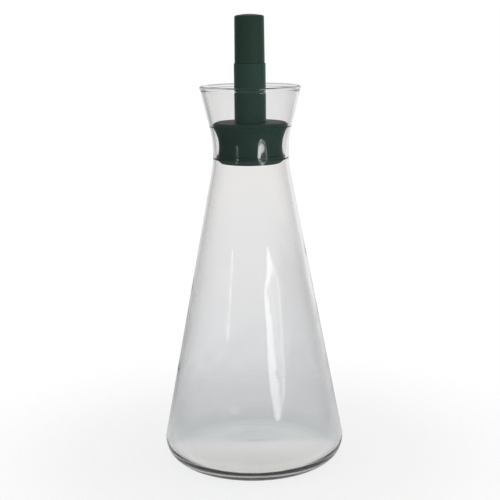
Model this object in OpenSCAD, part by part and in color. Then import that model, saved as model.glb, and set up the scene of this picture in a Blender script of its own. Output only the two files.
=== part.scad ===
// Conical glass carafe with a waisted neck and a pull-out stopper.
// The stopper is a rigid core in a silicone sleeve with two sealing lips, with a long grip.
// Origin: centre of the foot on the plane the carafe stands on. +Z points up the axis.

/* [Glass] */
// Largest outer diameter of the foot
base_d = 118; // [105:1:142]
// Height from the standing plane to the top of the rim
glass_h = 245.8; // [204:0.2:296]
// Outer diameter of the rim
rim_d = 64.2; // [58:0.2:78]
// Outer diameter of the waist
waist_d = 48.2; // [40:0.2:58]
// Distance from the rim down to the waist
waist_drop = 42.5; // [38:0.5:51]
// Radius of the waist's curve on the outside
waist_curve_r = 70.8; // [58:0.2:86]
// Outer radius of the rounded foot
foot_r = 13.8; // [11:0.2:17]
// Thickness of the wall
wall = 2; // [1.6:0.1:2.4]
// Height of the inner floor above the standing plane
floor_h = 5.5; // [3.6:0.1:6.6]
// Inner radius between the wall and the floor
inner_foot_r = 8.6; // [7:0.2:12]
// Diameter of the hollow under the floor, inside the standing ring
punt_d = 86; // [70:1:88]
// Rise of the hollow under the floor
punt_h = 1; // [0.6:0.1:2]
// Thickness of the fire-polished bead on the rim
bead_d = 2.6; // [2.4:0.1:3.2]

/* [Silicone sleeve] */
// Height of the collar from its underside to its top
collar_h = 26.1; // [21.7:0.1:31.4]
// Distance from the rim down to the upper lip
lip_drop = 24.7; // [20:0.1:30]
// Radius of the rounded shoulder over the upper lip
shoulder_r = 4.25; // [3.6:0.05:5]
// Radial distance from the shoulder's curve centre to the upper lip's edge
shoulder_reach = 3.6; // [3.2:0.1:3.6]
// Height of the lower lip above the underside
lower_lip_h = 2.9; // [2.6:0.1:3.4]
// Thickness of both lips at their edges
lip_t = 0.6; // [0.4:0.1:0.8]
// Inset of the underside behind the lower lip
underside_inset = 3.2; // [2.4:0.1:3.6]
// Height of the tapered foot under the lower lip
taper_h = 1.9; // [1.2:0.1:2.2]
// Inset of the lower lip's root on its underside
root_inset = 1.2; // [0.8:0.1:1.6]
// Inset of the ledge over the lower lip
ledge_inset = 0.5; // [0.2:0.1:0.8]
// Height of the ledge over the lower lip
ledge_h = 5; // [4.4:0.1:6]
// Depth of the waisted flank behind the lower lip
flank_depth = 1.6; // [1:0.1:2]
// Height of the flank's narrowest point above the underside
flank_h = 10.5; // [8:0.1:13]
// Thickness of the silicone at the flank's narrowest point
sleeve_wall = 2.6; // [2:0.1:3.2]
// Thickness of the silicone over the core and under its skirt
skin_t = 2; // [1.4:0.1:2.4]
// Clearance between the lips and the glass
lip_gap = 0.3; // [0.2:0.05:0.5]

/* [Core and plug] */
// Outer diameter of the socket that holds the grip
socket_d = 20.1; // [16.7:0.1:24.2]
// Height of the socket above the collar
socket_h = 36.6; // [30:0.1:44]
// Wall of the socket
socket_wall = 2; // [1.4:0.1:2.4]
// Wall of the core's skirt and its top plate
core_wall = 1.8; // [1.4:0.1:2.2]
// Width of the sleeve's edge that holds the plug in
edge_w = 1.8; // [1.2:0.1:2.2]
// Recess of the plug's face inside the sleeve's underside
plug_recess = 0.7; // [0.3:0.1:1]
// Thickness of the plug's face
plug_t = 2; // [1.6:0.1:2.4]
// Height of the plug's rim inside the core
plug_rim_h = 5; // [3:0.1:7]

/* [Grip] */
// Length of the grip above the socket, up to the top of its crown
grip_h = 30.5; // [25:0.1:37]
// Step in from the socket's surface to the grip's
grip_step = 0.5; // [0.2:0.05:1]
// Draft of the grip: how much narrower it is at the top
grip_draft = 0.4; // [0:0.1:1]
// Radius of the grip's rounded top edge
grip_edge_r = 1.2; // [0.8:0.1:2]
// Radius of the crown on top of the grip
crown_r = 40; // [30:1:60]
// Length of the shank inside the socket
shank_l = 28; // [20:0.5:33]
// Wall of the hollow shank
shank_wall = 2; // [1.4:0.1:2.6]
// Thickness of the grip's closed top
grip_top_t = 3; // [2:0.1:4]
// Radial clearance between the stopper's own pieces
fit_gap = 0.05; // [0.02:0.01:0.1]

/* [Hidden] */
$fn = 160;
overshoot = 5;
// The straight runs end this far inside the arcs' edges, so that each crosses its arc cleanly.
knit = 0.01;

// Glass: the wall runs from the rounded foot over the waist's curve to the rim's bead.
foot_c = [base_d / 2 - foot_r, foot_r];
waist_c = [waist_d / 2 + waist_curve_r, glass_h - waist_drop];
bead_r = bead_d / 2;
bead_c = [rim_d / 2 - bead_r, glass_h - bead_r];
inner_curve_r = waist_curve_r + wall;

// Unit normal of the straight wall: it touches the foot's circle and the waist's circle.
foot_to_waist = waist_c - foot_c;
wall_a = atan2(foot_to_waist.y, foot_to_waist.x)
    - acos((foot_r + waist_curve_r) / norm(foot_to_waist));
wall_n = [cos(wall_a), sin(wall_a)];

// Unit normal of the flare: its middle runs from the bead to the waist's circle.
waist_to_bead = bead_c - waist_c;
flare_a = atan2(waist_to_bead.y, waist_to_bead.x)
    + acos((waist_curve_r + wall / 2) / norm(waist_to_bead));
flare_n = [cos(flare_a), sin(flare_a)];
flare_up = [flare_n.y, -flare_n.x];

// Inner corner: it touches the floor and the inside of the straight wall.
inner_line = (foot_c * wall_n) + foot_r - wall;
inner_foot_z = floor_h + inner_foot_r;
inner_foot_c = [(inner_line - inner_foot_r - wall_n.y * inner_foot_z) / wall_n.x, inner_foot_z];
punt_r = (punt_d * punt_d / 4 + punt_h * punt_h) / (2 * punt_h);

// Inner radius of the glass at height z, over the whole height of the neck.
cone_end = waist_c - inner_curve_r * wall_n;
flare_start = waist_c + inner_curve_r * flare_n;
function inner_r(z) =
    z < cone_end.y ? cone_end.x + (cone_end.y - z) * tan(wall_a) :
    z > flare_start.y ? flare_start.x + (z - flare_start.y) * flare_up.x / flare_up.y :
    waist_c.x - sqrt(pow(inner_curve_r, 2) - pow(z - waist_c.y, 2));

// Stopper: its own heights count from the collar's underside.
upper_lip_h = collar_h - shoulder_r + sqrt(pow(shoulder_r, 2) - pow(shoulder_reach, 2));
collar_z = glass_h - lip_drop - upper_lip_h;
upper_lip_r = inner_r(glass_h - lip_drop - lip_t) - lip_gap;
lower_lip_r = waist_d / 2 - wall - lip_gap;
shoulder_c = [upper_lip_r - shoulder_reach, collar_h - shoulder_r];
flank_r = lower_lip_r - flank_depth;
flank_rise = upper_lip_h - lip_t - flank_h;
flank_reach = upper_lip_r - flank_r;
flank_curve_r = (pow(flank_rise, 2) + pow(flank_reach, 2)) / (2 * flank_reach);

core_r = flank_r - sleeve_wall;
core_top = collar_h - skin_t;
socket_r = socket_d / 2;
socket_top = collar_h + socket_h;
bore_r = socket_r - socket_wall;
plug_r = core_r - core_wall - fit_gap;
plug_face_r = plug_r - edge_w;

grip_r = socket_r - grip_step;
grip_end_r = grip_r - grip_draft / 2;
crown_c = [0, grip_h - crown_r];
grip_edge_c = [
    grip_end_r - grip_edge_r,
    crown_c.y + sqrt(pow(crown_r - grip_edge_r, 2) - pow(grip_end_r - grip_edge_r, 2))
];
crown_dir = (grip_edge_c - crown_c) / norm(grip_edge_c - crown_c);
shank_r = bore_r - fit_gap;

// Outline of the vessel at a depth into the wall: foot or floor corner, cone, waist and flare.
module vessel_outline(corner_c, corner_r, depth, top) {
    floor_z = corner_c.y - corner_r;
    curve_r = waist_curve_r + depth;
    difference() {
        union() {
            polygon([
                [0, floor_z],
                [corner_c.x, floor_z],
                corner_c,
                corner_c + (corner_r - knit) * wall_n,
                waist_c - (curve_r - knit) * wall_n,
                waist_c,
                waist_c + (curve_r - knit) * flare_n,
                top,
                [0, top.y]
            ]);
            intersection() {
                translate(corner_c) circle(corner_r);
                translate([0, floor_z]) square([corner_c.x + corner_r, 2 * corner_r]);
            }
        }
        translate(waist_c) circle(curve_r);
    }
}

module glass_body() {
    color("lightsteelblue", 0.35)
        rotate_extrude() {
            difference() {
                vessel_outline(foot_c, foot_r, 0, bead_c - wall / 2 * flare_n);
                vessel_outline(inner_foot_c, inner_foot_r, wall,
                    bead_c + wall / 2 * flare_n + overshoot * flare_up);
                translate([0, punt_h - punt_r]) circle(punt_r);
            }
            translate(bead_c) circle(bead_r);
        }
}

// Silicone sleeve: a thin lip at the bottom, a waisted flank, and a shoulder over the upper lip.
module sleeve_outline() {
    polygon([
        [0, 0],
        [lower_lip_r - underside_inset, 0],
        [lower_lip_r - root_inset, taper_h],
        [lower_lip_r, lower_lip_h - lip_t / 2],
        [lower_lip_r, lower_lip_h + lip_t / 2],
        [lower_lip_r - ledge_inset, ledge_h],
        [0, ledge_h]
    ]);
    difference() {
        translate([0, ledge_h]) square([upper_lip_r, collar_h - ledge_h]);
        translate([flank_r + flank_curve_r, flank_h]) circle(flank_curve_r);
        translate(shoulder_c)
            difference() {
                square(shoulder_r + overshoot);
                circle(shoulder_r);
            }
    }
}

module seal_sleeve() {
    color("darkslategray")
        translate([0, 0, collar_z])
            rotate_extrude()
                difference() {
                    sleeve_outline();
                    translate([0, skin_t]) square([core_r + fit_gap, core_top - skin_t]);
                    square([socket_r + fit_gap, collar_h + overshoot]);
                    translate([0, -overshoot]) square([plug_face_r + fit_gap, collar_h]);
                }
}

module stopper_core() {
    color("darkslategray")
        translate([0, 0, collar_z])
            rotate_extrude()
                difference() {
                    union() {
                        translate([0, skin_t]) square([core_r, core_top - skin_t]);
                        square([socket_r, socket_top]);
                    }
                    square([core_r - core_wall, core_top - core_wall]);
                    translate([0, core_top]) square([bore_r, socket_top]);
                }
}

module base_plug() {
    color("darkslategray")
        translate([0, 0, collar_z])
            rotate_extrude() {
                translate([0, plug_recess]) square([plug_face_r, plug_t]);
                translate([plug_r - core_wall, skin_t]) square([core_wall, plug_rim_h]);
                translate([0, skin_t]) square([plug_r, plug_t]);
            }
}

module stem_grip() {
    color("darkslategray")
        translate([0, 0, collar_z + socket_top])
            rotate_extrude()
                difference() {
                    union() {
                        polygon([[0, 0], [grip_r, 0], [grip_end_r, grip_edge_c.y], [0, grip_edge_c.y]]);
                        translate(grip_edge_c) circle(grip_edge_r);
                        intersection() {
                            translate(crown_c) circle(crown_r);
                            polygon([
                                [0, grip_edge_c.y],
                                grip_edge_c,
                                crown_c + (crown_r + overshoot) * crown_dir,
                                [0, grip_h + overshoot]
                            ]);
                        }
                        translate([0, -shank_l]) square([shank_r, shank_l]);
                    }
                    translate([0, -shank_l])
                        square([shank_r - shank_wall, shank_l + grip_h - grip_top_t]);
                }
}

glass_body();
seal_sleeve();
stopper_core();
base_plug();
stem_grip();
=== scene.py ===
"""Glass carafe with a pull-out stopper: the looks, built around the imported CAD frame.

Lengths in the scene are in metres, in the CAD frame. Profiles are lists of (radius, height)
in millimetres, as in the CAD source, and lathe() turns them into meshes.
"""
import math

import bmesh
import bpy
from mathutils import Matrix, Vector, noise

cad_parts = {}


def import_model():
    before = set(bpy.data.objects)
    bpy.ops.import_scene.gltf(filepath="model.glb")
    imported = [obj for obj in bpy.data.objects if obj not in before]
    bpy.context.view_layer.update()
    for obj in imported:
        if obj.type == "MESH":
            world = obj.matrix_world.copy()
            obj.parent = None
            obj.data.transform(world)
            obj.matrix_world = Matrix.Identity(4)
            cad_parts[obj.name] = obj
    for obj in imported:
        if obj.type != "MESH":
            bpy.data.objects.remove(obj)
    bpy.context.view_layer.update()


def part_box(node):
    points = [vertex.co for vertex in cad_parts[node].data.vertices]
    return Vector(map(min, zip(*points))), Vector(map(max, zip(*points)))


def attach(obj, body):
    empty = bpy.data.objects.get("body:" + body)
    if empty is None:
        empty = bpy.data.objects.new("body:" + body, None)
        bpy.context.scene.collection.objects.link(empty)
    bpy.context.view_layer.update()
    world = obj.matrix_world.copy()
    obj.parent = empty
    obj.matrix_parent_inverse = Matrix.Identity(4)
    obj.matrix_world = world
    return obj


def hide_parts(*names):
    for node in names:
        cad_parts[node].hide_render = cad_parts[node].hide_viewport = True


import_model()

MM = 0.001
GLASS_LOW, GLASS_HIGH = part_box("glass_body")
SLEEVE_LOW, SLEEVE_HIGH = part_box("seal_sleeve")
CORE_LOW, CORE_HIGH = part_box("stopper_core")
PLUG_LOW, PLUG_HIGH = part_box("base_plug")
GRIP_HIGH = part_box("stem_grip")[1]

# Glass, in millimetres. What its box doesn't give has the CAD source's value.
BASE_R = min(-GLASS_LOW.x, GLASS_HIGH.x) / MM
GLASS_H = GLASS_HIGH.z / MM
RIM_R = 32.1
WAIST_R = 24.1
WAIST_DROP = 42.5
WAIST_CURVE_R = 70.8
FOOT_R = 13.8
WALL = 2.0
FLOOR_H = 5.5
INNER_FOOT_R = 8.6
PUNT_R = 43.0
PUNT_H = 1.0
BEAD_R = 1.3

# The uneven inside of the blown wall, in millimetres apart from the stretch
WALL_WAVE = 0.09
WALL_WAVE_AT_SEAL = 0.02
WAVE_LENGTH = 11.0
WAVE_STRETCH = 0.9
SEAL_MARGIN = 12

# Stopper, in millimetres
COLLAR_Z = SLEEVE_LOW.z / MM
COLLAR_H = (SLEEVE_HIGH.z - SLEEVE_LOW.z) / MM
SOCKET_TOP = CORE_HIGH.z / MM
GRIP_TOP = GRIP_HIGH.z / MM
GRIP_R = GRIP_HIGH.x / MM
PLUG_R = PLUG_HIGH.x / MM
SOCKET_R = 10.05
SOCKET_WALL = 2.0
CORE_R = CORE_HIGH.x / MM
CORE_WALL = 1.8
SKIN_T = 2.0
SHOULDER_R = 4.25
SHOULDER_REACH = 3.6
LOWER_LIP_H = 2.9
LIP_T = 0.6
LIP_EDGE_R = 0.22
LIP_PRESS = 0.08
LEDGE_H = 5.0
FLANK_R = 20.2
FLANK_H = 10.5
TAPER_H = 1.9
UNDERSIDE_INSET = 3.2
ROOT_INSET = 1.2
LEDGE_INSET = 0.5
EDGE_W = 1.8
PLUG_T = 2.0
PLUG_RIM_H = 5.0
FIT = 0.05
SMALL_EDGE_R = 0.2
SOFT_EDGE_R = 0.3
GRIP_DRAFT = 0.4
GRIP_EDGE_R = 1.2
CROWN_R = 40.0
SHANK_L = 28.0
SHANK_WALL = 2.0
GRIP_TOP_T = 3.0

# Steps along each stretch of a profile
EDGE_STEPS = 6
PUNT_STEPS = 36
RING_STEPS = 3
CURVE_STEPS = 44
CONE_STEPS = 40
FLARE_STEPS = 18
BEAD_STEPS = 28
FLOOR_STEPS = 24
WAVE_FADE_STEPS = 8
FLANK_STEPS = 40
SHOULDER_STEPS = 20
GRIP_STEPS = 12
CROWN_STEPS = 14

GLASS_SEGMENTS = 256
SLEEVE_SEGMENTS = 192
CORE_SEGMENTS = 160
ON_AXIS = 1e-6

# A ray's depth counts its hits so far, and these lie between one count and the next.
AT_LEAST_ONE = 0.5
AT_LEAST_TWO = 1.5
AT_LEAST_FOUR = 3.5

FLOOR_GREY = (0.96, 0.96, 0.96, 1)
WHITE = (1, 1, 1, 1)


# ---- Profiles ------------------------------------------------------------
def arc(centre, radius, start, end, steps):
    """Points on a circle from angle start to angle end."""
    points = []
    for i in range(steps + 1):
        a = start + (end - start) * i / steps
        points.append((centre[0] + radius * math.cos(a), centre[1] + radius * math.sin(a)))
    return points


def line(a, b, steps):
    """Points from a to b."""
    return [
        (a[0] + (b[0] - a[0]) * i / steps, a[1] + (b[1] - a[1]) * i / steps)
        for i in range(steps + 1)
    ]


def rounded(corners):
    """A closed outline whose corners (radius, height, fillet) are rounded.

    On a long edge, one more point is held close to each fillet, so that shading stays flat between.
    """
    hold = 0.06
    most_of_edge = 0.49
    long_edge = 4
    points = []
    count = len(corners)
    for i, (x, z, fillet) in enumerate(corners):
        p = Vector((x, z))
        if not fillet:
            points.append((x, z))
            continue
        before = Vector(corners[i - 1][:2]) - p
        after = Vector(corners[(i + 1) % count][:2]) - p
        half = before.angle(after) / 2
        reach = fillet / math.tan(half)
        limit = most_of_edge * min(before.length, after.length)
        if reach > limit:
            fillet *= limit / reach
            reach = limit
        u = before.normalized()
        v = after.normalized()
        centre = p + (u + v).normalized() * fillet / math.sin(half)
        start = p + u * reach
        end = p + v * reach
        if before.length > long_edge * (reach + hold):
            points.append(tuple(start + u * hold))
        a0 = math.atan2(start.y - centre.y, start.x - centre.x)
        a1 = math.atan2(end.y - centre.y, end.x - centre.x)
        turn = (a1 - a0 + math.pi) % (2 * math.pi) - math.pi
        points += arc(centre, fillet, a0, a0 + turn, EDGE_STEPS)
        if after.length > long_edge * (reach + hold):
            points.append(tuple(end + v * hold))
    return points


def add_object(name, data):
    """A new object in the scene that shows this data."""
    added = bpy.data.objects.new(name, data)
    bpy.context.scene.collection.objects.link(added)
    return added


def ring_faces(a, b):
    """The faces between two rings of vertices. A ring of one vertex is a pole."""
    if len(a) == 1 and len(b) == 1:
        return []
    faces = []
    segments = max(len(a), len(b))
    for s in range(segments):
        t = (s + 1) % segments
        if len(a) == 1:
            faces.append([a[0], b[t], b[s]])
        elif len(b) == 1:
            faces.append([a[s], a[t], b[0]])
        else:
            faces.append([a[s], a[t], b[t], b[s]])
    return faces


def lathe(name, profile, segments, closed, wobble=None):
    """A solid of revolution about Z from a profile in millimetres.

    Profile points on the axis become poles. wobble(index, angle, r, z) gives a small change
    of radius, in millimetres.
    """
    verts = []
    rings = []
    for index, (r, z) in enumerate(profile):
        if r < ON_AXIS:
            rings.append([len(verts)])
            verts.append((0, 0, z * MM))
            continue
        ring = []
        for s in range(segments):
            a = 2 * math.pi * s / segments
            ring.append(len(verts))
            local_r = r + (wobble(index, a, r, z) if wobble else 0)
            verts.append((local_r * MM * math.cos(a), local_r * MM * math.sin(a), z * MM))
        rings.append(ring)
    faces = []
    for a, b in zip(rings, rings[1:]):
        faces += ring_faces(a, b)
    if closed:
        faces += ring_faces(rings[-1], rings[0])
    mesh = bpy.data.meshes.new(name)
    mesh.from_pydata(verts, [], faces)
    bm = bmesh.new()
    bm.from_mesh(mesh)
    bmesh.ops.recalc_face_normals(bm, faces=bm.faces)
    for f in bm.faces:
        f.smooth = True
    bm.to_mesh(mesh)
    bm.free()
    return add_object(name, mesh)


# ---- Glass shape ---------------------------------------------------------
FOOT_C = (BASE_R - FOOT_R, FOOT_R)
WAIST_C = (WAIST_R + WAIST_CURVE_R, GLASS_H - WAIST_DROP)
BEAD_C = (RIM_R - BEAD_R, GLASS_H - BEAD_R)
WALL_A = math.atan2(WAIST_C[1] - FOOT_C[1], WAIST_C[0] - FOOT_C[0]) - math.acos(
    (FOOT_R + WAIST_CURVE_R) / math.dist(FOOT_C, WAIST_C)
)
FLARE_A = math.atan2(BEAD_C[1] - WAIST_C[1], BEAD_C[0] - WAIST_C[0]) + math.acos(
    (WAIST_CURVE_R + WALL / 2) / math.dist(WAIST_C, BEAD_C)
)


def glass_outside():
    """From the axis under the floor, over the standing ring and the wall, to the waist's end."""
    points = []
    for i in range(PUNT_STEPS):
        r = PUNT_R * i / PUNT_STEPS
        points.append((r, PUNT_H * (0.5 + 0.5 * math.cos(math.pi * r / PUNT_R))))
    points += line((PUNT_R, 0), (FOOT_C[0], 0), RING_STEPS)
    points += arc(FOOT_C, FOOT_R, -math.pi / 2, WALL_A, CURVE_STEPS)[1:]
    waist = arc(WAIST_C, WAIST_CURVE_R, math.pi + WALL_A, FLARE_A, CURVE_STEPS)
    points += line(points[-1], waist[0], CONE_STEPS)[1:]
    points += waist[1:]
    return points


def glass_rim():
    """Where the flare's outside meets the fire-polished bead, and the bead round to the inside."""
    n = (math.cos(FLARE_A), math.sin(FLARE_A))
    up = (n[1], -n[0])
    drop = math.sqrt(BEAD_R**2 - (WALL / 2) ** 2)
    joint = (
        BEAD_C[0] - n[0] * WALL / 2 - up[0] * drop,
        BEAD_C[1] - n[1] * WALL / 2 - up[1] * drop,
    )
    upward = math.atan2(up[1], up[0])
    spread = math.acos(-drop / BEAD_R)
    return joint, arc(BEAD_C, BEAD_R, upward - spread, upward + spread, BEAD_STEPS)


def glass_inside(start):
    """From the bead down the inside of the flare, waist and wall to the middle of the floor."""
    n = (math.cos(WALL_A), math.sin(WALL_A))
    reach = FOOT_C[0] * n[0] + FOOT_C[1] * n[1] + FOOT_R - WALL
    corner_z = FLOOR_H + INNER_FOOT_R
    corner = ((reach - INNER_FOOT_R - n[1] * corner_z) / n[0], corner_z)
    waist = arc(WAIST_C, WAIST_CURVE_R + WALL, FLARE_A, math.pi + WALL_A, CURVE_STEPS)
    foot = arc(corner, INNER_FOOT_R, WALL_A, -math.pi / 2, CURVE_STEPS)
    points = line(start, waist[0], FLARE_STEPS)[1:]
    points += waist[1:]
    points += line(waist[-1], foot[0], CONE_STEPS)[1:]
    points += foot[1:]
    points += line(foot[-1], (0, FLOOR_H), FLOOR_STEPS)[1:]
    return points


def glass_piece():
    """The whole vessel as one closed solid of revolution."""
    outside = glass_outside()
    joint, bead = glass_rim()
    outside += line(outside[-1], joint, FLARE_STEPS)[1:]
    inside = glass_inside(bead[-1])
    first_inside = len(outside) + len(bead) - 1
    last_wall = first_inside + FLARE_STEPS + CURVE_STEPS + CONE_STEPS

    def blown_wall(index, angle, r, z):
        """The wall's thickness varies a little, and stays nearly even where the lips seal."""
        if index < first_inside or index > last_wall:
            return 0
        from_end = min(index - first_inside, last_wall - index)
        share = min(from_end / WAVE_FADE_STEPS, 1)
        amount = WALL_WAVE if z < COLLAR_Z - SEAL_MARGIN else WALL_WAVE_AT_SEAL
        place = Vector((math.cos(angle) * r, math.sin(angle) * r, z * WAVE_STRETCH))
        return amount * share * noise.noise(place / WAVE_LENGTH)

    profile = outside + bead[1:] + inside
    return lathe("carafe_glass", profile, GLASS_SEGMENTS, False, blown_wall)


def inner_radius(z):
    """Inner radius of the glass at height z in the neck, in millimetres."""
    r = WAIST_CURVE_R + WALL
    waist_low = (WAIST_C[0] - r * math.cos(WALL_A), WAIST_C[1] - r * math.sin(WALL_A))
    waist_high = (WAIST_C[0] + r * math.cos(FLARE_A), WAIST_C[1] + r * math.sin(FLARE_A))
    if z < waist_low[1]:
        return waist_low[0] + (waist_low[1] - z) * math.tan(WALL_A)
    if z > waist_high[1]:
        return waist_high[0] - (z - waist_high[1]) * math.tan(FLARE_A)
    return WAIST_C[0] - math.sqrt(r * r - (z - WAIST_C[1]) ** 2)


# ---- Stopper shapes ------------------------------------------------------
def sleeve_piece():
    """The silicone sleeve. Both lips press on the glass: they reach LIP_PRESS into its inside."""
    upper_h = COLLAR_H - SHOULDER_R + math.sqrt(SHOULDER_R**2 - SHOULDER_REACH**2)
    upper_r = inner_radius(COLLAR_Z + upper_h) + LIP_PRESS
    upper_under_r = inner_radius(COLLAR_Z + upper_h - LIP_T) + LIP_PRESS
    lower_r = inner_radius(COLLAR_Z + LOWER_LIP_H) + LIP_PRESS
    shoulder = (upper_r - SHOULDER_REACH, COLLAR_H - SHOULDER_R)
    rise = upper_h - LIP_T - FLANK_H
    reach = upper_under_r - FLANK_R
    curve_r = (rise**2 + reach**2) / (2 * reach)
    flank_c = (FLANK_R + curve_r, FLANK_H)
    low_a = math.pi + math.asin((FLANK_H - LEDGE_H) / curve_r)
    high_a = math.pi - math.asin(rise / curve_r)
    flank = arc(flank_c, curve_r, low_a, high_a, FLANK_STEPS)
    lip_end = math.atan2(upper_h - shoulder[1], SHOULDER_REACH)
    cap = arc(shoulder, SHOULDER_R, lip_end, math.pi / 2, SHOULDER_STEPS)
    corners = [
        (PLUG_R - EDGE_W + FIT, 0, SMALL_EDGE_R),
        (lower_r - UNDERSIDE_INSET, 0, 0.5),
        (lower_r - ROOT_INSET, TAPER_H, 0.4),
        (lower_r, LOWER_LIP_H - LIP_T / 2, LIP_EDGE_R),
        (lower_r, LOWER_LIP_H + LIP_T / 2, LIP_EDGE_R),
        (lower_r - LEDGE_INSET, LEDGE_H, 0.35),
        (flank[0][0], LEDGE_H, 0.25),
    ]
    corners += [(r, z, 0) for r, z in flank[1:-1]]
    corners += [(upper_under_r, upper_h - LIP_T, 0.18)]
    corners += [(r, z, 0) for r, z in cap[1:]]
    corners += [
        (SOCKET_R + FIT, COLLAR_H, 0.15),
        (SOCKET_R + FIT, COLLAR_H - SKIN_T, 0),
        (CORE_R + FIT, COLLAR_H - SKIN_T, 0),
        (CORE_R + FIT, SKIN_T, 0),
        (PLUG_R - EDGE_W + FIT, SKIN_T, 0),
    ]
    profile = [(r, z + COLLAR_Z) for r, z in rounded(corners)]
    return lathe("silicone_sleeve", profile, SLEEVE_SEGMENTS, True)


def core_piece():
    """The rigid core: a skirt inside the sleeve, and the socket tube that holds the grip."""
    base = CORE_LOW.z / MM
    top = COLLAR_Z + COLLAR_H - SKIN_T
    corners = [
        (CORE_R - CORE_WALL, base, SMALL_EDGE_R),
        (CORE_R, base, SMALL_EDGE_R),
        (CORE_R, top, SOFT_EDGE_R),
        (SOCKET_R, top, 0),
        (SOCKET_R, SOCKET_TOP, 0.28),
        (SOCKET_R - SOCKET_WALL, SOCKET_TOP, SMALL_EDGE_R),
        (SOCKET_R - SOCKET_WALL, top, 0),
        (0, top, 0),
        (0, top - CORE_WALL, 0),
        (CORE_R - CORE_WALL, top - CORE_WALL, SOFT_EDGE_R),
    ]
    return lathe("socket_core", rounded(corners), CORE_SEGMENTS, True)


def plug_piece():
    """The disc that closes the stopper's underside, with its rim inside the core."""
    base = PLUG_LOW.z / MM
    step = COLLAR_Z + SKIN_T
    corners = [
        (0, base, 0),
        (PLUG_R - EDGE_W, base, SOFT_EDGE_R),
        (PLUG_R - EDGE_W, step, 0),
        (PLUG_R, step, 0.1),
        (PLUG_R, step + PLUG_RIM_H, SMALL_EDGE_R),
        (PLUG_R - CORE_WALL, step + PLUG_RIM_H, SMALL_EDGE_R),
        (PLUG_R - CORE_WALL, step + PLUG_T, SMALL_EDGE_R),
        (0, step + PLUG_T, 0),
    ]
    return lathe("underside_plug", rounded(corners), CORE_SEGMENTS, True)


def grip_piece():
    """The grip: a drafted tube, rounded into a low crown, and its shank inside the socket."""
    end_r = GRIP_R - GRIP_DRAFT / 2
    crown_z = GRIP_TOP - CROWN_R
    edge_x = end_r - GRIP_EDGE_R
    edge_z = crown_z + math.sqrt((CROWN_R - GRIP_EDGE_R) ** 2 - edge_x**2)
    tip_a = math.atan2(edge_z - crown_z, edge_x)
    shank_r = SOCKET_R - SOCKET_WALL - FIT
    bore_r = shank_r - SHANK_WALL
    shank_z = SOCKET_TOP - SHANK_L
    foot = (GRIP_R - SMALL_EDGE_R, SOCKET_TOP + SMALL_EDGE_R)
    profile = line((bore_r, shank_z), (shank_r, shank_z), 2)
    profile += line((shank_r, shank_z), (shank_r, SOCKET_TOP), 2)[1:]
    profile += arc(foot, SMALL_EDGE_R, -math.pi / 2, 0, EDGE_STEPS)
    profile += line((GRIP_R, SOCKET_TOP + SOFT_EDGE_R), (end_r, edge_z), GRIP_STEPS)
    profile += arc((edge_x, edge_z), GRIP_EDGE_R, 0, tip_a, CROWN_STEPS)[1:]
    profile += arc((0, crown_z), CROWN_R, tip_a, math.pi / 2, CROWN_STEPS)[1:-1]
    profile += [(0, GRIP_TOP), (0, GRIP_TOP - GRIP_TOP_T), (bore_r, GRIP_TOP - GRIP_TOP_T)]
    return lathe("stem_grip_piece", profile, CORE_SEGMENTS, True)


# ---- Shader nodes --------------------------------------------------------
def feed(tree, socket, value):
    """Link a node's output to a socket, or give the socket a fixed value."""
    if isinstance(value, bpy.types.NodeSocket):
        tree.links.new(value, socket)
    else:
        socket.default_value = value


def math_node(tree, operation, first, second=0.0):
    """One calculation with two values, each a number or a node's output."""
    node = tree.nodes.new("ShaderNodeMath")
    node.operation = operation
    feed(tree, node.inputs[0], first)
    feed(tree, node.inputs[1], second)
    return node.outputs["Value"]


def product(tree, *values):
    """All the values, multiplied together."""
    result = values[0]
    for value in values[1:]:
        result = math_node(tree, "MULTIPLY", result, value)
    return result


def rest_of(tree, value):
    """What is left of 1."""
    return math_node(tree, "SUBTRACT", 1.0, value)


def between(tree, value, low, high):
    """1 for a value between low and high, and 0 for any other."""
    above = math_node(tree, "GREATER_THAN", value, low)
    below = math_node(tree, "LESS_THAN", value, high)
    return product(tree, above, below)


def spread(tree, value, low, high, start=0.0, end=1.0, smooth=False):
    """The value between low and high, spread from start to end and held past both."""
    node = tree.nodes.new("ShaderNodeMapRange")
    if smooth:
        node.interpolation_type = "SMOOTHSTEP"
    node.inputs["From Min"].default_value = low
    node.inputs["From Max"].default_value = high
    node.inputs["To Min"].default_value = start
    node.inputs["To Max"].default_value = end
    tree.links.new(value, node.inputs["Value"])
    return node.outputs["Result"]


def step_node(tree, value, edge, softness):
    """0 below edge and 1 above it, with a soft change between."""
    offset = math_node(tree, "SUBTRACT", value, edge)
    return spread(tree, offset, -softness, softness, smooth=True)


def soft_between(tree, value, low, low_softness, high, high_softness):
    """1 between low and high, with a soft change at both."""
    past_low = step_node(tree, value, low, low_softness)
    past_high = step_node(tree, value, high, high_softness)
    return product(tree, past_low, rest_of(tree, past_high))


def soft_line(tree, value, centre, half, softness, strength):
    """A line of light where the value comes within half of centre."""
    offset = math_node(tree, "SUBTRACT", value, centre)
    distance = math_node(tree, "ABSOLUTE", offset)
    on_line = rest_of(tree, step_node(tree, distance, half, softness))
    return product(tree, on_line, strength)


def ramp_node(tree, value, stops):
    """A colour that follows the value through stops of (position, colour)."""
    node = tree.nodes.new("ShaderNodeValToRGB")
    elements = node.color_ramp.elements
    while len(elements) < len(stops):
        elements.new(0.5)
    for element, (position, colour) in zip(elements, stops):
        element.position = position
        element.color = (*colour, 1)
    tree.links.new(value, node.inputs["Fac"])
    return node.outputs["Color"]


def grey_ramp(tree, value, first, last):
    """A grey from first to last."""
    return ramp_node(tree, value, [(0.0, (first,) * 3), (1.0, (last,) * 3)])


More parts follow.
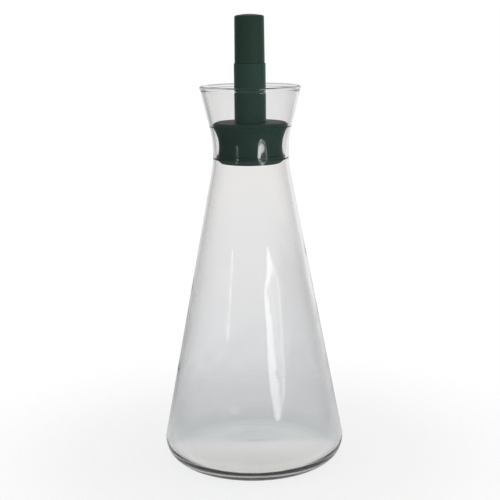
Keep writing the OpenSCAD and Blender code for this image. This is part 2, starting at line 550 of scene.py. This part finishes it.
def mix_colour(tree, factor, first, second):
    """The first colour where factor is 0 and the second where it is 1."""
    node = tree.nodes.new("ShaderNodeMix")
    node.data_type = "RGBA"
    tree.links.new(factor, node.inputs["Factor"])
    feed(tree, node.inputs["A"], first)
    feed(tree, node.inputs["B"], second)
    return node.outputs["Result"]


def mix_shader(tree, factor, first, second):
    """The first shader where factor is 0 and the second where it is 1."""
    node = tree.nodes.new("ShaderNodeMixShader")
    tree.links.new(factor, node.inputs["Fac"])
    tree.links.new(first, node.inputs[1])
    tree.links.new(second, node.inputs[2])
    return node.outputs["Shader"]


def noise_node(tree, place, scale, detail, roughness=0.5):
    """Noise from 0 to 1 in space, or along a line where place is a single value."""
    node = tree.nodes.new("ShaderNodeTexNoise")
    slot = "Vector"
    if place.type == "VALUE":
        node.noise_dimensions = "1D"
        slot = "W"
    tree.links.new(place, node.inputs[slot])
    node.inputs["Scale"].default_value = scale
    node.inputs["Detail"].default_value = detail
    node.inputs["Roughness"].default_value = roughness
    return node.outputs["Fac"]


def add_bump(tree, shader, height, distance):
    """Give a shader small bumps of up to this distance, in metres."""
    node = tree.nodes.new("ShaderNodeBump")
    node.inputs["Strength"].default_value = 1.0
    node.inputs["Distance"].default_value = distance
    tree.links.new(height, node.inputs["Height"])
    tree.links.new(node.outputs["Normal"], shader.inputs["Normal"])


def vector_math(tree, operation, first, second=(0, 0, 0)):
    """One calculation with vectors. The caller takes its Vector or its Value."""
    node = tree.nodes.new("ShaderNodeVectorMath")
    node.operation = operation
    feed(tree, node.inputs[0], first)
    feed(tree, node.inputs[1], second)
    return node


def axes(tree, place):
    """The X, Y and Z of a place."""
    split = tree.nodes.new("ShaderNodeSeparateXYZ")
    tree.links.new(place, split.inputs["Vector"])
    return split.outputs["X"], split.outputs["Y"], split.outputs["Z"]


# ---- Materials -----------------------------------------------------------
def new_material(name):
    """A new material, with its node tree and its main shader."""
    material = bpy.data.materials.new(name)
    material.use_nodes = True
    tree = material.node_tree
    return material, tree, tree.nodes["Principled BSDF"]


def glass_material():
    """Clear glass with the faint waves of a blown surface.

    Shadow rays and diffuse rays go straight through it.
    """
    material, tree, shader = new_material("clear_glass")
    place = tree.nodes.new("ShaderNodeTexCoord").outputs["Object"]
    waves = noise_node(tree, place, scale=70.0, detail=1.0)
    add_bump(tree, shader, waves, distance=0.00004)
    shader.inputs["Base Color"].default_value = (0.99, 0.99, 0.99, 1)
    shader.inputs["Roughness"].default_value = 0.0
    shader.inputs["IOR"].default_value = 1.5
    shader.inputs["Transmission Weight"].default_value = 1.0
    path = tree.nodes.new("ShaderNodeLightPath")
    surface = shader.outputs["BSDF"]
    for ray in ("Is Shadow Ray", "Is Diffuse Ray"):
        straight = tree.nodes.new("ShaderNodeBsdfTransparent")
        straight.inputs["Color"].default_value = (0.94, 0.95, 0.95, 1)
        surface = mix_shader(tree, path.outputs[ray], surface, straight.outputs["BSDF"])
    tree.links.new(surface, tree.nodes["Material Output"].inputs["Surface"])
    return material


def moulded_material(name, dark, light, roughness, grain):
    """Matt moulded rubber or plastic: two close tones, uneven roughness and a fine grain."""
    grain_height = 0.00002
    uneven = 0.05
    material, tree, shader = new_material(name)
    place = tree.nodes.new("ShaderNodeTexCoord").outputs["Object"]
    clouds = noise_node(tree, place, scale=60.0, detail=4.0)
    fine = noise_node(tree, place, scale=grain, detail=2.0)
    tone = mix_colour(tree, clouds, (*dark, 1), (*light, 1))
    rough = spread(tree, clouds, 0.0, 1.0, roughness - uneven, roughness + uneven)
    shader.inputs["Specular IOR Level"].default_value = 0.25
    tree.links.new(tone, shader.inputs["Base Color"])
    tree.links.new(rough, shader.inputs["Roughness"])
    add_bump(tree, shader, fine, grain_height)
    return material


# ---- Studio --------------------------------------------------------------
def camera():
    """The camera, as fitted to the photo: in front of the object, above it and turned a little."""
    aside = -0.0013
    distance = 0.7249
    height = 0.2874
    pitch = math.radians(11.52)
    roll = math.radians(0.74)
    focal_share = 2.2736
    data = bpy.data.cameras.new("camera")
    data.sensor_width = 36
    data.lens = focal_share * data.sensor_width
    holder = add_object("camera", data)
    forward = Vector((0, math.cos(pitch), -math.sin(pitch)))
    right = Vector((1, 0, 0))
    up = right.cross(forward)
    level_right = right * math.cos(roll) - up * math.sin(roll)
    level_up = up * math.cos(roll) + right * math.sin(roll)
    turn = Matrix((level_right, level_up, -forward)).transposed().to_4x4()
    turn.translation = Vector((aside, -distance, height))
    holder.matrix_world = turn
    bpy.context.scene.camera = holder


def softbox(name, shape, azimuth, low, high, distance, width, radiance):
    """An upright soft lamp, whose light has the pattern that shape() gives.

    Azimuth 0 is the camera's side, and it grows to the right. The lamp shows mirrored in the
    glass, and is hidden from rays that passed both walls and were never mirrored.
    """
    a = math.radians(azimuth)
    height = high - low
    lamp = bpy.data.lights.new(name, "AREA")
    lamp.shape = "RECTANGLE"
    lamp.size = width
    lamp.size_y = height
    lamp.energy = radiance * math.pi * width * height
    lamp.use_nodes = True
    holder = add_object(name, lamp)
    holder.location = (distance * math.sin(a), -distance * math.cos(a), (low + high) / 2)
    aim = Vector((0, 0, (low + high) / 2)) - holder.location
    holder.rotation_euler = aim.to_track_quat("-Z", "Y").to_euler()
    holder.visible_camera = False

    tree = lamp.node_tree
    path = tree.nodes.new("ShaderNodeLightPath")
    past_both_walls = math_node(tree, "GREATER_THAN", path.outputs["Transmission Depth"], AT_LEAST_FOUR)
    never_mirrored = math_node(tree, "LESS_THAN", path.outputs["Glossy Depth"], AT_LEAST_ONE)
    shown = rest_of(tree, product(tree, past_both_walls, never_mirrored))
    across, rise = lamp_place(tree, holder.location, a, width, height)
    strength = product(tree, shown, shape(tree, across, rise))
    tree.links.new(strength, tree.nodes["Emission"].inputs["Strength"])
    return holder


def lamp_place(tree, middle, azimuth, width, height):
    """Where on an upright lamp a ray meets it: across from 0 to 1, and rise from 0 to 1."""
    place = tree.nodes.new("ShaderNodeNewGeometry").outputs["Position"]
    offset = vector_math(tree, "SUBTRACT", place, middle).outputs["Vector"]
    along = (math.cos(azimuth) / width, math.sin(azimuth) / width, 0)
    upward = (0, 0, 1 / height)
    across = vector_math(tree, "DOT_PRODUCT", offset, along).outputs["Value"]
    rise = vector_math(tree, "DOT_PRODUCT", offset, upward).outputs["Value"]
    return math_node(tree, "ADD", across, 0.5), math_node(tree, "ADD", rise, 0.5)


def edges_by_rise(tree, rise, stops):
    """Three places across a lamp that change with rise, from stops of (rise, places)."""
    split = tree.nodes.new("ShaderNodeSeparateColor")
    tree.links.new(ramp_node(tree, rise, stops), split.inputs["Color"])
    return split.outputs[0], split.outputs[1], split.outputs[2]


def shape_key(tree, across, rise):
    """The key lamp isn't even: it is a spindle with a bright left band and a dim wavy middle.

    A thin bright line follows the band, and the right edge is brighter than the middle.
    """
    left, band, right = edges_by_rise(tree, rise, [
        (0.00, (0.30, 0.36, 0.36)),
        (0.03, (0.20, 0.44, 0.46)),
        (0.13, (0.12, 0.45, 0.70)),
        (0.20, (0.06, 0.46, 0.76)),
        (0.28, (0.04, 0.34, 0.80)),
        (0.36, (0.03, 0.40, 0.82)),
        (0.44, (0.02, 0.36, 0.88)),
        (0.60, (0.00, 0.34, 0.94)),
        (0.70, (0.00, 0.20, 0.96)),
        (0.78, (0.02, 0.22, 0.94)),
        (0.86, (0.16, 0.56, 0.80)),
        (0.93, (0.28, 0.57, 0.60)),
        (0.98, (0.36, 0.50, 0.50)),
        (1.00, (0.42, 0.44, 0.44)),
    ])
    band_level = 1.04
    band_drop = 0.92
    edge_level = 0.36
    edge_width = 0.17
    line_offset = 0.17
    wave_size = 0.5
    body = soft_between(tree, across, left, 0.04, right, 0.05)
    ripples = noise_node(tree, rise, scale=18.0, detail=5.0, roughness=0.65)
    wave = product(tree, math_node(tree, "SUBTRACT", ripples, 0.5), wave_size)
    wavy = math_node(tree, "ADD", across, wave)
    past_band = step_node(tree, wavy, band, 0.07)
    near_edge = step_node(tree, wavy, math_node(tree, "SUBTRACT", right, edge_width), 0.06)
    line_centre = math_node(tree, "ADD", band, line_offset)
    bright_line = soft_line(tree, wavy, line_centre, half=0.03, softness=0.025, strength=0.34)
    level = math_node(tree, "SUBTRACT", band_level, product(tree, past_band, band_drop))
    level = math_node(tree, "ADD", level, product(tree, near_edge, edge_level))
    level = math_node(tree, "ADD", level, bright_line)
    return product(tree, level, body)


def shape_glint(tree, across, rise):
    """The glint lamp is a drop with a curled left edge.

    It stands low and far off, and shows only where the neck mirrors it once, which is told by
    the length of the ray.
    """
    left, right, _ = edges_by_rise(tree, rise, [
        (0.00, (0.45, 0.55, 0)),
        (0.08, (0.40, 0.62, 0)),
        (0.16, (0.33, 0.70, 0)),
        (0.30, (0.20, 0.76, 0)),
        (0.45, (0.12, 0.78, 0)),
        (0.62, (0.08, 0.76, 0)),
        (0.72, (0.07, 0.60, 0)),
        (0.79, (0.06, 0.38, 0)),
        (0.91, (0.05, 0.38, 0)),
        (1.00, (0.04, 0.28, 0)),
    ])
    nearest = 1.182
    farthest = 1.238
    softness = 0.06
    path = tree.nodes.new("ShaderNodeLightPath")
    body = soft_between(tree, across, left, softness, right, softness)
    past_foot = step_node(tree, rise, softness, softness)
    from_neck = between(tree, path.outputs["Ray Length"], nearest, farthest)
    mirrored_once = between(tree, path.outputs["Glossy Depth"], AT_LEAST_ONE, AT_LEAST_TWO)
    return product(tree, body, past_foot, mirrored_once, from_neck)


def shape_fill(tree, across, rise):
    """The fill lamp is a dim sheet with soft sides, and two thin lines that break up with rise."""
    sheet_level = 0.03
    least_unbroken = 0.25
    body = soft_between(tree, across, 0.15, 0.15, 0.85, 0.15)
    ends = soft_between(tree, rise, 0.06, 0.06, 0.9, 0.1)
    breaks = noise_node(tree, rise, scale=9.0, detail=4.0)
    unbroken = product(tree, step_node(tree, breaks, 0.5, 0.16), 1 - least_unbroken)
    unbroken = math_node(tree, "ADD", unbroken, least_unbroken)
    level = sheet_level
    for centre, half, strength in ((0.60, 0.04, 0.9), (0.36, 0.025, 0.35)):
        bright = soft_line(tree, across, centre, half, half * 0.8, strength)
        level = math_node(tree, "ADD", level, bright)
    return product(tree, level, unbroken, body, ends)


def overhead(radiance, height, size):
    """A wide soft lamp over the object."""
    behind = 0.1
    area = math.pi * (size / 2) ** 2
    lamp = bpy.data.lights.new("overhead", "AREA")
    lamp.shape = "DISK"
    lamp.size = size
    lamp.energy = radiance * math.pi * area
    holder = add_object("overhead", lamp)
    holder.location = (0, behind, height)
    holder.visible_camera = False
    holder.visible_transmission = False


def backdrop_colour(tree, across, rise):
    """What glass shows behind it: pale grey, lightest just below level, darker low on the right."""
    height = spread(tree, rise, -0.5, 0.5)
    tones = ramp_node(tree, height, [
        (0.00, (0.60, 0.61, 0.62)),
        (0.15, (0.65, 0.66, 0.67)),
        (0.175, (0.70, 0.71, 0.72)),
        (0.225, (0.79, 0.80, 0.81)),
        (0.275, (0.87, 0.87, 0.88)),
        (0.325, (0.93, 0.925, 0.925)),
        (0.36, (0.96, 0.95, 0.94)),
        (0.45, (0.90, 0.89, 0.89)),
        (1.00, (0.80, 0.80, 0.80)),
    ])
    darkest = 0.1
    to_right = spread(tree, across, 0.03, 0.065)
    to_low = spread(tree, rise, -0.16, -0.21)
    share = rest_of(tree, product(tree, to_right, to_low, darkest))
    scaled = vector_math(tree, "SCALE", tones)
    tree.links.new(share, scaled.inputs["Scale"])
    return scaled.outputs["Vector"]


def studio_colour(tree, path, side, away, rise):
    """What glass and gloss mirror: a dark studio with a pale back, paler on the right.

    A ray that was mirrored twice or more inside the glass and leaves it upward sees the dark.
    """
    pale_back = spread(tree, away, 0.4, 0.95, smooth=True)
    under_lid = spread(tree, rise, 0.35, 0.75, 1.0, 0.0, smooth=True)
    right_share = spread(tree, side, 0.0, 1.0, 0.6, 1.3)
    at_most_once = math_node(tree, "LESS_THAN", path.outputs["Glossy Depth"], AT_LEAST_TWO)
    not_upward = math_node(tree, "LESS_THAN", rise, 0.08)
    not_trapped = math_node(tree, "MAXIMUM", at_most_once, not_upward)
    low_tone = spread(tree, rise, -0.35, -0.12, 0.3, 1.0)
    pale = product(tree, pale_back, under_lid, right_share, not_trapped, low_tone)
    return grey_ramp(tree, pale, 0.04, 0.84)


def world():
    """White to the camera, the backdrop through glass, and the dark studio in gloss.

    Matt surfaces are lit by a plain grey that gets lighter to the right.
    """
    studio = bpy.data.worlds.new("studio")
    bpy.context.scene.world = studio
    studio.use_nodes = True
    tree = studio.node_tree
    path = tree.nodes.new("ShaderNodeLightPath")
    place = tree.nodes.new("ShaderNodeTexCoord").outputs["Generated"]
    across, away, rise = axes(tree, place)
    side = spread(tree, across, -0.8, 0.8)

    never_mirrored = math_node(tree, "LESS_THAN", path.outputs["Glossy Depth"], AT_LEAST_ONE)
    through = product(tree, path.outputs["Is Transmission Ray"], never_mirrored)
    mirrored = studio_colour(tree, path, side, away, rise)
    colour = mix_colour(tree, through, mirrored, backdrop_colour(tree, across, rise))
    glass_or_gloss = math_node(
        tree, "MAXIMUM", path.outputs["Is Glossy Ray"], path.outputs["Is Transmission Ray"]
    )
    surface = tree.nodes["Background"]
    tree.links.new(grey_ramp(tree, side, 0.45, 0.95), surface.inputs["Color"])
    behind = tree.nodes.new("ShaderNodeBackground")
    tree.links.new(colour, behind.inputs["Color"])
    white = tree.nodes.new("ShaderNodeBackground")
    white.inputs["Color"].default_value = WHITE
    seen = mix_shader(
        tree, glass_or_gloss, surface.outputs["Background"], behind.outputs["Background"]
    )
    whole = mix_shader(tree, path.outputs["Is Camera Ray"], seen, white.outputs["Background"])
    tree.links.new(whole, tree.nodes["World Output"].inputs["Surface"])


def floor_mesh():
    """A flat disc, with its rings closest together in the middle."""
    rings = 24
    sides = 96
    reach = 0.9
    crowding = 1.5
    verts = [(0, 0, 0)]
    ring_list = [[0]]
    for i in range(1, rings + 1):
        r = reach * (i / rings) ** crowding
        ring_list.append([len(verts) + s for s in range(sides)])
        for s in range(sides):
            a = 2 * math.pi * s / sides
            verts.append((r * math.cos(a), r * math.sin(a), 0))
    faces = []
    for inner, outer in zip(ring_list, ring_list[1:]):
        faces += [face[::-1] for face in ring_faces(inner, outer)]
    mesh = bpy.data.meshes.new("floor")
    mesh.from_pydata(verts, [], faces)
    return mesh


def floor_material():
    """Nearly white to the camera, with painted light and shade through glass, and fading to clear
    outward.
    """
    material, tree, shader = new_material("floor")
    shader.inputs["Roughness"].default_value = 0.8
    shader.inputs["Specular IOR Level"].default_value = 0.2
    path = tree.nodes.new("ShaderNodeLightPath")
    is_camera = path.outputs["Is Camera Ray"]
    place = tree.nodes.new("ShaderNodeTexCoord").outputs["Object"]
    behind = spread(tree, axes(tree, place)[1], -0.1, 0.1)
    # Painted light and shade seen through the glass: lightest in a narrow band at the axis and just
    # behind it, darker toward the front, and darkest further behind.
    painted_shading_under_glass = ramp_node(tree, behind, [
        (0.00, (0.78, 0.76, 0.74)),
        (0.35, (0.86, 0.845, 0.82)),
        (0.50, (0.96, 0.95, 0.94)),
        (0.55, (0.96, 0.955, 0.95)),
        (0.60, (0.82, 0.84, 0.85)),
        (0.80, (0.75, 0.77, 0.78)),
        (1.00, (0.74, 0.76, 0.77)),
    ])
    tone = mix_colour(tree, is_camera, painted_shading_under_glass, FLOOR_GREY)
    tree.links.new(tone, shader.inputs["Base Color"])
    glow = tree.nodes.new("ShaderNodeEmission")
    glow_tone = mix_colour(tree, is_camera, painted_shading_under_glass, WHITE)
    tree.links.new(glow_tone, glow.inputs["Color"])
    glow_to_camera = product(tree, is_camera, 0.6)
    # Through glass the floor also glows partly in this painted tone, painted light that no lamp gives.
    glow_in_glass = product(tree, path.outputs["Is Transmission Ray"], 0.35)
    glow_share = math_node(tree, "ADD", glow_in_glass, glow_to_camera)
    lifted = mix_shader(tree, glow_share, shader.outputs["BSDF"], glow.outputs["Emission"])
    distance = vector_math(tree, "LENGTH", place).outputs["Value"]
    fade = spread(tree, distance, 0.06, 0.25, smooth=True)
    clear = tree.nodes.new("ShaderNodeBsdfTransparent")
    whole = mix_shader(tree, fade, lifted, clear.outputs["BSDF"])
    tree.links.new(whole, tree.nodes["Material Output"].inputs["Surface"])
    return material


def floor():
    """The studio floor, a hair under the object."""
    under = 0.0003
    piece = add_object("floor", floor_mesh())
    piece.location = (0, 0, -under)
    piece.data.materials.append(floor_material())


def finish_piece(piece, material, node, body):
    """Give a piece its material and its body, and hide the CAD node it stands in for."""
    piece.data.materials.append(material)
    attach(piece, body)
    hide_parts(node)


# ---- The scene -----------------------------------------------------------
camera()
world()
floor()
softbox(
    "key", shape_key,
    azimuth=37, low=0.045, high=0.209, distance=0.42, width=0.24, radiance=2.6,
)
softbox(
    "fill", shape_fill,
    azimuth=-42.5, low=0.107, high=0.205, distance=0.36, width=0.10, radiance=6.0,
)
glint = softbox(
    "glint", shape_glint,
    azimuth=34, low=-0.2, high=0.085, distance=1.2, width=0.6, radiance=5.0,
)
glint.visible_diffuse = False
overhead(radiance=0.35, height=1.2, size=1.2)

socket = moulded_material(
    "green_socket", (0.026, 0.060, 0.046), (0.031, 0.069, 0.053), roughness=0.42, grain=7000
)
silicone = moulded_material(
    "green_silicone", (0.019, 0.048, 0.039), (0.024, 0.056, 0.046), roughness=0.48, grain=9000
)
plastic = moulded_material(
    "green_plastic", (0.022, 0.049, 0.036), (0.027, 0.057, 0.043), roughness=0.42, grain=7000
)
finish_piece(glass_piece(), glass_material(), "glass_body", "glass")
finish_piece(sleeve_piece(), silicone, "seal_sleeve", "stopper")
finish_piece(core_piece(), socket, "stopper_core", "stopper")
finish_piece(plug_piece(), plastic, "base_plug", "stopper")
finish_piece(grip_piece(), plastic, "stem_grip", "stopper")

bpy.context.scene.view_settings.view_transform = "Standard"
cycles = bpy.context.scene.cycles
cycles.max_bounces = 40
cycles.glossy_bounces = 32
cycles.transmission_bounces = 32
